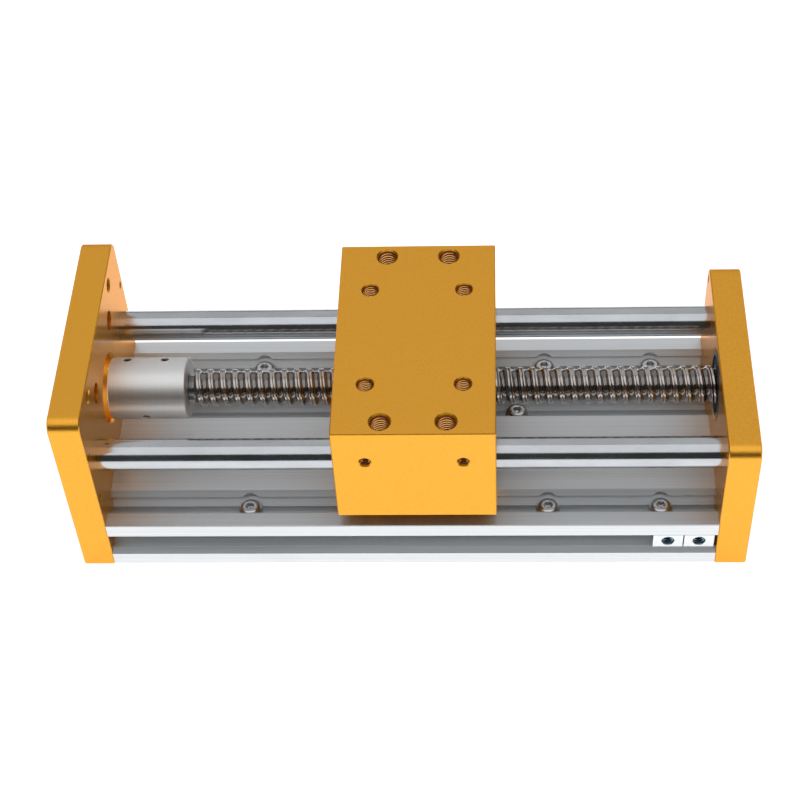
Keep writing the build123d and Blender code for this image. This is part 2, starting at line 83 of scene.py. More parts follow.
class FinishSettings(PropertyGroup):
    gold: FloatVectorProperty(
        name="Gold", description="Colour of the anodised plates and carriage",
        subtype="COLOR", size=3, min=0.0, max=1.0, default=(0.96, 0.448, 0.038))
    silver: FloatVectorProperty(
        name="Silver", description="Colour of the extruded bed",
        subtype="COLOR", size=3, min=0.0, max=1.0, default=(0.805, 0.83, 0.85))
    turned: FloatVectorProperty(
        name="Turned aluminium", description="Colour of the shaft coupler",
        subtype="COLOR", size=3, min=0.0, max=1.0, default=(0.82, 0.82, 0.82))
    chrome: FloatVectorProperty(
        name="Chrome", description="Colour of the ground guide rods",
        subtype="COLOR", size=3, min=0.0, max=1.0, default=(0.55, 0.57, 0.595))
    screw_steel: FloatVectorProperty(
        name="Screw steel", description="Colour of the hardened ball screw",
        subtype="COLOR", size=3, min=0.0, max=1.0, default=(0.31, 0.29, 0.28))
    zinc: FloatVectorProperty(
        name="Zinc", description="Colour of the plated slot nuts",
        subtype="COLOR", size=3, min=0.0, max=1.0, default=(0.82, 0.86, 0.90))
    blast_size: FloatProperty(
        name="Blast grain", description="Size of the blasted grain under the anodising",
        unit="LENGTH", min=0.00005, default=0.35 * MM)
    blast_depth: FloatProperty(
        name="Blast depth", description="Depth of the blasted grain",
        unit="LENGTH", min=0.0, default=0.04 * MM)
    draw_line: FloatProperty(
        name="Draw lines", description="Width of the lines that extrusion leaves along the bed",
        unit="LENGTH", min=0.00005, default=0.3 * MM)


class ScrewSettings(PropertyGroup):
    radius: FloatProperty(
        name="Radius", description="Radius of the screw over its lands",
        unit="LENGTH", default=6.0 * MM)
    lead: FloatProperty(
        name="Lead", description="Travel of the nut in one turn",
        unit="LENGTH", default=4.0 * MM)
    groove_depth: FloatProperty(
        name="Groove depth", description="Depth of the ball groove",
        unit="LENGTH", default=0.9 * MM)
    groove_radius: FloatProperty(
        name="Groove radius", description="Radius of the ball groove in section",
        unit="LENGTH", default=1.35 * MM)
    land_round: FloatProperty(
        name="Land rounding", description="Rounding of the edges of the land",
        unit="LENGTH", default=0.28 * MM)
    seam: FloatProperty(
        name="Seam", description="Width of the seam that rolling leaves in the land",
        unit="LENGTH", default=0.5 * MM)
    seam_depth: FloatProperty(
        name="Seam depth", description="Depth of the seam in the land",
        unit="LENGTH", default=0.16 * MM)
    phase: FloatProperty(
        name="Phase", description="Where along the lead the first land lies",
        unit="LENGTH", default=0.3 * MM)
    journal: FloatProperty(
        name="Journal radius", description="Radius of the plain ends",
        unit="LENGTH", default=4.0 * MM)
    steps: IntProperty(
        name="Steps in a turn", description="Mesh steps in one turn of the thread",
        min=16, default=72)


class TapSettings(PropertyGroup):
    ridge: FloatProperty(
        name="Ridge", description="Height of a thread ridge, as a share of its pitch",
        subtype="FACTOR", min=0.1, max=0.6, default=0.54)
    lead_in: FloatProperty(
        name="Lead-in", description="Depth of the first ridge, in pitches",
        min=0.5, default=0.8)
    # Crest and flank colours are painted light and shade: the crests lighter as a painted highlight, the
    # flanks dark as painted shade inside the holes
    lit_crest: FloatVectorProperty(
        name="Crest", description="Colour of the thread crests in the gold pieces",
        subtype="COLOR", size=3, min=0.0, max=1.0, default=(0.9, 0.46, 0.16))
    shaded_flank: FloatVectorProperty(
        name="Flank", description="Colour of the thread flanks in the gold pieces",
        subtype="COLOR", size=3, min=0.0, max=1.0, default=(0.26, 0.07, 0.012))
    lit_nut_crest: FloatVectorProperty(
        name="Nut crest", description="Colour of the thread crests in the slot nuts",
        subtype="COLOR", size=3, min=0.0, max=1.0, default=(0.36, 0.52, 0.64))
    shaded_nut_flank: FloatVectorProperty(
        name="Nut flank", description="Colour of the thread flanks in the slot nuts",
        subtype="COLOR", size=3, min=0.0, max=1.0, default=(0.07, 0.13, 0.2))
    steps: IntProperty(
        name="Steps in a turn", description="Mesh steps in one turn of a tapped thread",
        min=12, default=28)


class BoltSettings(PropertyGroup):
    shank: FloatProperty(
        name="Shank radius", description="Radius of the bed screws' shank",
        unit="LENGTH", default=2.0 * MM)
    rim: FloatProperty(
        name="Rim radius", description="Radius of the head at its foot",
        unit="LENGTH", default=3.8 * MM)
    head: FloatProperty(
        name="Head height", description="Height of the head",
        unit="LENGTH", default=4.0 * MM)
    wall: FloatProperty(
        name="Wall", description="Height of the straight part of the head",
        unit="LENGTH", default=0.9 * MM)
    crown: FloatProperty(
        name="Crown radius", description="Radius of the flat top of the dome",
        unit="LENGTH", default=1.75 * MM)
    socket: FloatProperty(
        name="Socket", description="Width of the hexagon socket across its flats",
        unit="LENGTH", default=2.5 * MM)
    socket_depth: FloatProperty(
        name="Socket depth", description="Depth of the hexagon socket",
        unit="LENGTH", default=2.0 * MM)


class CouplerSettings(PropertyGroup):
    motor_bore: FloatProperty(
        name="Motor bore", description="Radius of the bore for the motor shaft",
        unit="LENGTH", default=3.175 * MM)
    screw_bore: FloatProperty(
        name="Screw bore", description="Radius of the bore for the screw's journal",
        unit="LENGTH", default=4.02 * MM)
    screw_bore_depth: FloatProperty(
        name="Screw bore depth", description="Depth of the bore for the screw's journal",
        unit="LENGTH", default=10.0 * MM)
    edge: FloatProperty(
        name="Edge", description="Chamfer of the coupler's edges",
        unit="LENGTH", default=0.4 * MM)
    seat: FloatProperty(
        name="Set screw radius", description="Radius of the holes for the set screws",
        unit="LENGTH", default=1.3 * MM)
    first_seat: FloatProperty(
        name="First seat", description="Place along X of the set screws on the motor's side",
        unit="LENGTH", default=-91.2 * MM)
    second_seat: FloatProperty(
        name="Second seat", description="Place along X of the set screws on the screw's side",
        unit="LENGTH", default=-79.0 * MM)
    seat_turn: FloatProperty(
        name="Seat turn", description="Turn of the first row of set screws about the axis",
        subtype="ANGLE", default=math.radians(64))
    index: FloatProperty(
        name="Index hole radius", description="Radius of the small index hole",
        unit="LENGTH", default=1.2 * MM)
    index_turn: FloatProperty(
        name="Index turn", description="Turn of the index hole about the axis",
        subtype="ANGLE", default=math.radians(-160))


class StudioSettings(PropertyGroup):
    lens: FloatProperty(
        name="Lens", description="Focal length of the camera",
        unit="CAMERA", min=10.0, default=83.86)
    distance: FloatProperty(
        name="Distance", description="From the camera to the point it is aimed at",
        unit="LENGTH", default=618.18 * MM)
    tilt: FloatProperty(
        name="Tilt", description="Angle of the camera above the horizon",
        subtype="ANGLE", default=math.radians(49.296))
    turn: FloatProperty(
        name="Turn", description="Turn of the camera round the upright axis",
        subtype="ANGLE", default=math.radians(4.659))
    roll: FloatProperty(
        name="Roll", description="Turn of the camera round its own axis",
        subtype="ANGLE", default=math.radians(3.899))
    aim: FloatVectorProperty(
        name="Aim", description="Point the camera is aimed at",
        subtype="TRANSLATION", unit="LENGTH", size=3, default=(-4.265 * MM, 7.591 * MM, 25.0 * MM))
    floor_colour: FloatVectorProperty(
        name="Floor", description="Colour of the floor",
        subtype="COLOR", size=3, min=0.0, max=1.0, default=(0.90, 0.90, 0.90))
    room_level: FloatProperty(
        name="Room level", description="Level of the plain light all round",
        min=0.0, default=0.05)
    roof_level: FloatProperty(
        name="Roof light", description="Brightness of the light above",
        min=0.0, default=0.98)
    back_level: FloatProperty(
        name="Back light", description="Brightness of the tall light behind",
        min=0.0, default=0.58)
    floor_level: FloatProperty(
        name="Floor level", description="What the floor shows of its own besides the light on it",
        min=0.0, default=0.77)
    shift: FloatProperty(
        name="Shift", description="Upright shift of the camera's frame",
        default=0.0022)


# Mesh helpers

LATHE_STEPS = 64


def mesh_object(name, vertices, faces, smooth_angle=math.radians(40)):
    """A mesh piece whose faces are smooth below an angle."""
    mesh = bpy.data.meshes.new(name)
    mesh.from_pydata(vertices, [], faces)
    mesh.validate()
    mesh.update()
    mesh.shade_smooth()
    mesh.set_sharp_from_angle(angle=smooth_angle)
    piece = bpy.data.objects.new(name, mesh)
    bpy.context.scene.collection.objects.link(piece)
    return piece


def around_x(x, radius, angle, height=0.0):
    """A point at a radius and angle about the line along X at a height."""
    return (x, radius * math.cos(angle), height + radius * math.sin(angle))


def grid_faces(rows, columns, start=0, closed=False):
    """Quads that join the points of a grid, row by row."""
    faces = []
    for r in range(rows - 1):
        for c in range(columns if closed else columns - 1):
            following = (c + 1) % columns
            a, b = start + r * columns + c, start + r * columns + following
            faces.append((a, b, b + columns, a + columns))
    return faces


def lathe(vertices, faces, profile, height):
    """Adds a body turned about the X line at a height, from (x, radius) points."""
    start, steps = len(vertices), LATHE_STEPS
    for x, radius in profile:
        for s in range(steps):
            vertices.append(around_x(x, radius, 2 * math.pi * s / steps, height))
    faces += [tuple(reversed(f)) for f in grid_faces(len(profile), steps, start, closed=True)]
    faces.append(tuple(start + s for s in range(steps)))
    last = start + (len(profile) - 1) * steps
    faces.append(tuple(last + s for s in reversed(range(steps))))


# Material helpers

GOLD_EDGE = (0.7, 0.44, 0.24, 1.0)
GOLD_COAT, GOLD_COAT_ROUGHNESS = 0.4, 0.15
# The ball screw's colour is painted shade in the groove up to one radius, and a painted highlight on the
# lands from the other on
GROOVE_SHADE_RADIUS, LAND_LIGHT_RADIUS = 5.2 * MM, 5.85 * MM
GROOVE_SHADE_SHARE, LAND_LIGHT_SHARE = 0.74, 1.6
PLAIN_METALS = (
    ("bearing_steel", (0.12, 0.12, 0.13), 0.3),
    ("screw_steel", (0.60, 0.60, 0.61), 0.28),
    ("spring_steel", (0.05, 0.05, 0.055), 0.4),
)
PLAIN_PLASTICS = (
    ("seal_rubber", (0.02, 0.02, 0.022), 0.55),
    ("white_plastic", (0.82, 0.81, 0.77), 0.5),
)


def finish_name(slot):
    """The name of the material that a slot of the record gets here."""
    return slot + "_finish"


class Finish:
    """A metal or plastic finish, built node by node."""

    def __init__(self, slot, colour, roughness, metallic=1.0):
        self.material = bpy.data.materials.new(finish_name(slot))
        self.material.use_nodes = True
        self.tree = self.material.node_tree
        self.shader = self.tree.nodes["Principled BSDF"]
        self.shader.inputs["Base Color"].default_value = (*colour, 1.0)
        self.shader.inputs["Roughness"].default_value = roughness
        self.shader.inputs["Metallic"].default_value = metallic
        self.material.diffuse_color = (*colour, 1.0)
        self.place = self.node("ShaderNodeTexCoord").outputs["Object"]

    def node(self, kind, **values):
        """A new node with its settings."""
        made = self.tree.nodes.new(kind)
        for name, value in values.items():
            setattr(made, name, value)
        return made

    def join(self, source, target):
        """Links an output to an input."""
        self.tree.links.new(source, target)

    def noise(self, size, detail=2.0, stretch=(1.0, 1.0, 1.0), seed=0.0):
        """Noise with features of a size in metres, longer along a stretched axis."""
        mapping = self.node("ShaderNodeMapping")
        mapping.inputs["Scale"].default_value = [1.0 / (size * s) for s in stretch]
        mapping.inputs["Location"].default_value = (seed, seed, seed)
        self.join(self.place, mapping.inputs["Vector"])
        noise = self.node("ShaderNodeTexNoise")
        noise.inputs["Scale"].default_value = 1.0
        noise.inputs["Detail"].default_value = detail
        self.join(mapping.outputs["Vector"], noise.inputs["Vector"])
        return noise.outputs["Fac"]

    def between(self, factor, low, high, start=0.3, end=0.7):
        """A value that goes from low to high as the factor does from start to end."""
        ramp = self.node("ShaderNodeMapRange")
        for name, value in (("From Min", start), ("From Max", end), ("To Min", low), ("To Max", high)):
            ramp.inputs[name].default_value = value
        self.join(factor, ramp.inputs["Value"])
        return ramp.outputs["Result"]

    def colours(self, factor, low, high, start=0.35, end=0.65):
        """A colour that goes from low to high as the factor does from start to end."""
        ramp = self.node("ShaderNodeValToRGB")
        ramp.color_ramp.elements[0].position = start
        ramp.color_ramp.elements[0].color = (*low, 1.0)
        ramp.color_ramp.elements[1].position = end
        ramp.color_ramp.elements[1].color = (*high, 1.0)
        self.join(factor, ramp.inputs["Fac"])
        self.join(ramp.outputs["Color"], self.shader.inputs["Base Color"])

    def rough(self, factor, low, high):
        """A roughness that goes from low to high with the factor."""
        self.join(self.between(factor, low, high), self.shader.inputs["Roughness"])

    def bumps(self, factor, depth, edge=0.0):
        """Raises the surface by a depth in metres, and rounds its edges in the light."""
        bump = self.node("ShaderNodeBump")
        bump.inputs["Strength"].default_value = 1.0
        bump.inputs["Distance"].default_value = depth
        self.join(factor, bump.inputs["Height"])
        if edge:
            bevel = self.node("ShaderNodeBevel", samples=6)
            bevel.inputs["Radius"].default_value = edge
            self.join(bevel.outputs["Normal"], bump.inputs["Normal"])
        self.join(bump.outputs["Normal"], self.shader.inputs["Normal"])


def tinted(colour, share):
    """A colour made darker or lighter by a share."""
    return tuple(min(1.0, c * share) for c in colour)


def gold_finish(settings):
    """Satin anodising over a blasted surface, with a clear layer that holds the highlights white."""
    finish = Finish("gold_anodised", settings.gold, 0.5)
    finish.shader.inputs["Specular Tint"].default_value = GOLD_EDGE
    finish.shader.inputs["Coat Weight"].default_value = GOLD_COAT
    finish.shader.inputs["Coat Roughness"].default_value = GOLD_COAT_ROUGHNESS
    grain = finish.noise(settings.blast_size, detail=3.0)
    finish.colours(grain, tinted(settings.gold, 0.9), tinted(settings.gold, 1.08))
    finish.rough(finish.noise(6 * MM, seed=3.0), 0.35, 0.38)
    finish.bumps(grain, settings.blast_depth, 0.12 * MM)
    return finish.material


def silver_finish(settings):
    """Satin extrusion with fine lines along its length."""
    finish = Finish("silver_anodised", settings.silver, 0.5)
    lines = finish.noise(settings.draw_line, detail=3.0, stretch=(400.0, 1.0, 1.0))
    finish.colours(lines, tinted(settings.silver, 0.93), tinted(settings.silver, 1.04))
    finish.rough(lines, 0.40, 0.50)
    finish.bumps(lines, 0.002 * MM, 0.12 * MM)
    return finish.material


def turned_finish(settings):
    """Fine rings left by turning."""
    finish = Finish("turned_aluminium", settings.turned, 0.44)
    rings = finish.noise(0.12 * MM, detail=2.0, stretch=(1.0, 400.0, 400.0))
    finish.colours(rings, tinted(settings.turned, 0.94), tinted(settings.turned, 1.03))
    finish.rough(rings, 0.4, 0.5)
    finish.bumps(rings, 0.003 * MM, 0.1 * MM)
    return finish.material


def chrome_finish(settings):
    """Ground rods with faint smears of oil."""
    finish = Finish("ground_chrome", settings.chrome, 0.16)
    smears = finish.noise(5 * MM, detail=4.0, stretch=(3.0, 1.0, 1.0))
    finish.colours(smears, tinted(settings.chrome, 0.92), tinted(settings.chrome, 1.05))
    finish.rough(smears, 0.11, 0.2)
    finish.bumps(finish.noise(0.25 * MM, stretch=(6.0, 1.0, 1.0)), 0.0012 * MM)
    return finish.material


def rolled_finish(settings):
    """Hardened steel of the ball screw, with painted shade darkening the groove and a painted highlight
    lightening the lands.
    """
    finish = Finish("rolled_steel", settings.screw_steel, 0.2)
    across = finish.node("ShaderNodeMapping")
    across.inputs["Scale"].default_value = (0.0, 1.0, 1.0)
    across.inputs["Location"].default_value = (0.0, 0.0, -AXIS_HEIGHT)
    finish.join(finish.place, across.inputs["Vector"])
    reach = finish.node("ShaderNodeVectorMath", operation="LENGTH")
    finish.join(across.outputs["Vector"], reach.inputs[0])
    # Painted shade and highlight: darker in the groove, lighter on the lands, by distance from the axis
    land_light_mask = finish.between(reach.outputs["Value"], 0.0, 1.0, GROOVE_SHADE_RADIUS, LAND_LIGHT_RADIUS)
    groove_shade_colour, bright = tinted(settings.screw_steel, GROOVE_SHADE_SHARE), tinted(settings.screw_steel, LAND_LIGHT_SHARE)
    finish.colours(land_light_mask, groove_shade_colour, bright, 0.0, 1.0)
    finish.rough(finish.noise(2.2 * MM, detail=3.0), 0.12, 0.2)
    finish.bumps(finish.noise(0.3 * MM), 0.002 * MM)
    return finish.material


def zinc_finish(settings):
    """Bright plating with a faint cloud."""
    finish = Finish("zinc_steel", settings.zinc, 0.3)
    cloud = finish.noise(1.6 * MM, detail=3.0)
    finish.colours(cloud, tinted(settings.zinc, 0.94), tinted(settings.zinc, 1.05))
    finish.rough(cloud, 0.25, 0.36)
    finish.bumps(finish.noise(0.2 * MM), 0.003 * MM, 0.2 * MM)
    return finish.material


def plain_metal(name, colour, roughness):
    """A small metal piece with a faint grain."""
    finish = Finish(name, colour, roughness)
    speck = finish.noise(0.25 * MM, detail=2.0)
    finish.colours(speck, tinted(colour, 0.9), tinted(colour, 1.08))
    finish.rough(speck, 0.85 * roughness, 1.15 * roughness)
    finish.bumps(speck, 0.002 * MM, 0.1 * MM)
    return finish.material


def plain_plastic(name, colour, roughness):
    """Rubber or moulded plastic with a matte grain."""
    finish = Finish(name, colour, roughness, metallic=0.0)
    finish.shader.inputs["Specular IOR Level"].default_value = 0.15
    grain = finish.noise(0.3 * MM, detail=2.0)
    finish.colours(grain, tinted(colour, 0.85), tinted(colour, 1.1))
    finish.rough(grain, 0.9 * roughness, min(1.0, 1.1 * roughness))
    finish.bumps(grain, 0.004 * MM)
    return finish.material


class SLIDE_OT_finishes(Operator):
    """Gives every construction node its finish"""
    bl_idname = "slide.finishes"
    bl_label = "Finishes"

    def execute(self, context):
        settings = context.scene.slide_finish
        made = [
            gold_finish(settings), silver_finish(settings), turned_finish(settings), chrome_finish(settings),
            rolled_finish(settings), zinc_finish(settings),
        ]
        made += [plain_metal(*look) for look in PLAIN_METALS]
        made += [plain_plastic(*look) for look in PLAIN_PLASTICS]
        finishes = {material.name: material for material in made}
        for node in frame["nodes"].values():
            for slot in node.material_slots:
                slot.material = finishes[finish_name(slot.material.name)]
        return {"FINISHED"}


# Ball screw

START_GAP = 2.0 * MM
CORE_GAP = 0.02 * MM
JOURNAL_TIP = 0.4 * MM
# How deep the seam is at its quarter and at its edge, as shares of its depth
SEAM_QUARTER, SEAM_EDGE = 0.7, 0.2
ROUND_STEPS = 6
GROOVE_STEPS = 7


def thread_section(settings):
    """Places along the lead and radii of the thread, from the middle of one land to the next."""
    radius, lead = settings.radius, settings.lead
    groove = settings.groove_radius
    centre = radius - settings.groove_depth + groove
    rounding = settings.land_round
    arc_reach = math.sqrt(groove ** 2 - (centre - radius + rounding) ** 2)
    half_land = lead / 2 - arc_reach
    seam, seam_depth = settings.seam, settings.seam_depth
    half = [(0.0, radius - seam_depth)]
    half.append((seam / 4, radius - SEAM_QUARTER * seam_depth))
    half.append((seam / 2, radius - SEAM_EDGE * seam_depth))
    for step in range(ROUND_STEPS + 1):
        turn = math.pi / 2 * step / ROUND_STEPS
        along = half_land - rounding * (1 - math.sin(turn))
        half.append((along, radius - rounding * (1 - math.cos(turn))))
    for step in range(1, GROOVE_STEPS + 1):
        offset = arc_reach * (1 - step / GROOVE_STEPS)
        half.append((lead / 2 - offset, centre - math.sqrt(groove ** 2 - offset ** 2)))
    mirrored = [(lead - along, r) for along, r in reversed(half[1:-1])]
    return half + mirrored


def section_radius(section, along, lead):
    """Radius of the thread at a place along its lead."""
    closed = [*section, (lead, section[0][1])]
    for (x0, r0), (x1, r1) in zip(closed, closed[1:]):
        if x0 <= along <= x1:
            return r0 + (r1 - r0) * (along - x0) / max(x1 - x0, 1e-9)
    return section[0][1]


class SLIDE_OT_ball_screw(Operator):
    """Makes the grooved screw with rounded lands and a round ball groove"""
    bl_idname = "slide.ball_screw"
    bl_label = "Ball screw"

    def execute(self, context):
        settings = context.scene.slide_screw
        low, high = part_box("ball_screw")
        start, end = COUPLER_HIGH.x + START_GAP, BEARING_PLATE_FACE
        section = thread_section(settings)
        steps = settings.steps
        vertices, faces = [], []
        first_turn = math.floor(-settings.phase / settings.lead) - 2
        turns = math.ceil((end - start) / settings.lead) + 3
        columns = steps * turns + 1
        for along, radius in [*section, (settings.lead, section[0][1])]:
            for s in range(columns):
                angle = 2 * math.pi * s / steps
                x = start + settings.phase + along + settings.lead * (first_turn + s / steps)
                vertices.append(around_x(min(max(x, start), end), radius, angle, AXIS_HEIGHT))
        for face in grid_faces(len(section) + 1, columns):
            xs = [vertices[v][0] for v in face]
            if max(xs) > start and min(xs) < end:
                faces.append(face)
        core = settings.radius - settings.groove_depth - CORE_GAP
        lathe(vertices, faces, [(start, core), (end, core)], AXIS_HEIGHT)
        for x in (start, end):
            self.thread_end(vertices, faces, x, core, x - start - settings.phase, section, settings)
        tip, journal = JOURNAL_TIP, settings.journal
        motor_end = [(low.x, journal - tip), (low.x + tip, journal), (start, journal)]
        bearing_end = [(end, journal), (high.x - tip, journal), (high.x, journal - tip)]
        lathe(vertices, faces, motor_end, AXIS_HEIGHT)
        lathe(vertices, faces, bearing_end, AXIS_HEIGHT)
        piece = mesh_object("ball_screw_thread", vertices, faces, math.radians(60))
        piece.data.materials.append(bpy.data.materials[finish_name("rolled_steel")])
        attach(piece, "screw")
        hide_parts("ball_screw")
        return {"FINISHED"}

    def thread_end(self, vertices, faces, x, core, offset, section, settings):
        """Closes the end of the thread, from the core out to the groove and the land."""
        lead, steps = settings.lead, settings.steps
        start = len(vertices)
        for s in range(steps):
            angle = 2 * math.pi * s / steps
            along = (offset - lead * s / steps) % lead
            radius = section_radius(section, along, lead)
            vertices.append(around_x(x, core, angle, AXIS_HEIGHT))
            vertices.append(around_x(x, radius, angle, AXIS_HEIGHT))
        for s in range(steps):
            a, b = start + 2 * s, start + 2 * ((s + 1) % steps)
            faces.append((a, a + 1, b + 1, b))


# Tapped holes

TapSize = namedtuple("TapSize", "radius mouth pitch depth")
OUTER_TAP = TapSize(3.0 * MM, 3.55 * MM, 1.0 * MM, 11.5 * MM)
OUTER_TAP_X, OUTER_TAP_Y = 10 * MM, 35 * MM
INNER_TAP = TapSize(2.5 * MM, 2.9 * MM, 0.8 * MM, 10.5 * MM)
INNER_TAP_X, INNER_TAP_Y = 15 * MM, 20 * MM
SIDE_TAP = TapSize(1.75 * MM, 1.95 * MM, 0.7 * MM, 6.5 * MM)
SIDE_TAP_X, SIDE_TAP_DROP = 15 * MM, 13.4 * MM
PLATE_TAP = TapSize(1.25 * MM, 1.4 * MM, 0.5 * MM, 7.5 * MM)
PLATE_TAP_Y, PLATE_TAP_Z = 37 * MM, 10 * MM
NUT_TAP = TapSize(2.0 * MM, 2.15 * MM, 0.7 * MM, None)
CUT_END = 1.0 * MM
WELD = 0.001 * MM
CARVED_ANGLE = math.radians(30)
RUN_OUT = 1.2
ROOT_GAP = 0.01 * MM
# One thread ridge: places along it in pitches, and shares of its height
RIDGE = ((-0.48, 0.0), (-0.24, 0.6), (-0.10, 1.0), (0.14, 1.0), (0.48, 0.0))


def facing(origin, direction):
    """A place with its Z along a direction."""
    turn = Vector(direction).to_track_quat("Z", "Y").to_matrix().to_4x4()
    return Matrix.Translation(Vector(origin)) @ turn


def turned(vertices, faces, place, profile, steps=48):
    """Adds a closed body turned about a place's Z, from (height, radius) points, some with a side count."""
    start = len(vertices)
    for height, radius, *sides in profile:
        for s in range(steps):
            angle = 2 * math.pi * s / steps
            reach = radius
            if sides:
                sector = 2 * math.pi / sides[0]
                reach = radius * math.cos(sector / 2) / math.cos(angle % sector - sector / 2)
            vertices.append(tuple(place @ Vector((reach * math.cos(angle), reach * math.sin(angle), height))))
    faces += grid_faces(len(profile), steps, start, closed=True)
    faces.append(tuple(start + s for s in reversed(range(steps))))
    last = start + (len(profile) - 1) * steps
    faces.append(tuple(last + s for s in range(steps)))


def hole_cutter(place, radius, mouth, depth):
    """A closed body that cuts a round hole with a wider mouth."""
    vertices, faces = [], []
    above = 0.3 * MM
    profile = [(-depth, radius), (radius - mouth, radius), (above, mouth + above)]
    turned(vertices, faces, place, profile)
    return mesh_object("cutter", vertices, faces)


def carve(piece, cutters):
    """Cuts closed bodies out of a piece, and removes them."""
    whole = bmesh.new()
    whole.from_mesh(piece.data)
    bmesh.ops.remove_doubles(whole, verts=whole.verts, dist=WELD)
    whole.verts.index_update()
    plain = bpy.data.meshes.new(piece.name)
    corners = [tuple(v.co) for v in whole.verts]
    plain.from_pydata(corners, [], [[v.index for v in f.verts] for f in whole.faces])
    for material in piece.data.materials:
        plain.materials.append(material)
    whole.free()
    piece.data = plain
    for cutter in cutters:
        cut = piece.modifiers.new("cut", "BOOLEAN")
        cut.operation = "DIFFERENCE"
        cut.solver = "EXACT"
        cut.object = cutter
    bpy.context.view_layer.update()
    shaped = piece.evaluated_get(bpy.context.evaluated_depsgraph_get())
    mesh = bpy.data.meshes.new_from_object(shaped)
    piece.modifiers.clear()
    piece.data = mesh
    mesh.name = piece.name
    mesh.shade_smooth()
    mesh.set_sharp_from_angle(angle=CARVED_ANGLE)
    for cutter in cutters:
        bpy.data.objects.remove(cutter)


def carved_node(name, node, cutters):
    """A copy of a construction node with holes cut into it, which stands for the node."""
    source = frame["nodes"][node]
    piece = bpy.data.objects.new(name, source.data.copy())
    bpy.context.scene.collection.objects.link(piece)
    carve(piece, cutters)
    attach(piece, source["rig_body"])
    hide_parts(node)


def tapped_thread(vertices, faces, place, tap, settings):
    """Adds the ridges of a tapped hole, whose mouth is at a place with -Z inward. Gives the crests' faces,
    which get the lighter colour as a painted highlight.
    """
    steps, pitch = settings.steps, tap.pitch
    turns = max(2, int(tap.depth / pitch - RUN_OUT))
    root = tap.radius + ROOT_GAP
    height = root - tap.radius + settings.ridge * pitch
    start = len(vertices)
    count = steps * turns + 1
    for along, share in RIDGE:
        for s in range(count):
            angle = 2 * math.pi * s / steps
            fade = min(1.0, s / steps, (count - 1 - s) / steps)
            reach = root - height * share * fade
            drop = settings.lead_in * pitch + pitch * (along + s / steps)
            point = place @ Vector((reach * math.cos(angle), reach * math.sin(angle), -drop))
            vertices.append(tuple(point))
    crest_faces = len(faces) + count - 1
    faces += grid_faces(len(RIDGE), count, start)
    return range(crest_faces, crest_faces + 2 * (count - 1))


def thread_finish(name, colour, roughness):
    """Cut metal of a thread, with a faint grain, in a colour given per use: lighter on the crests as a
    painted highlight, dark on the flanks as painted shade.
    """
    finish = Finish(name, colour, roughness)
    grain = finish.noise(0.4 * MM)
    finish.colours(grain, tinted(colour, 0.85), tinted(colour, 1.1))
    finish.rough(grain, 0.9 * roughness, 1.1 * roughness)
    return finish.material


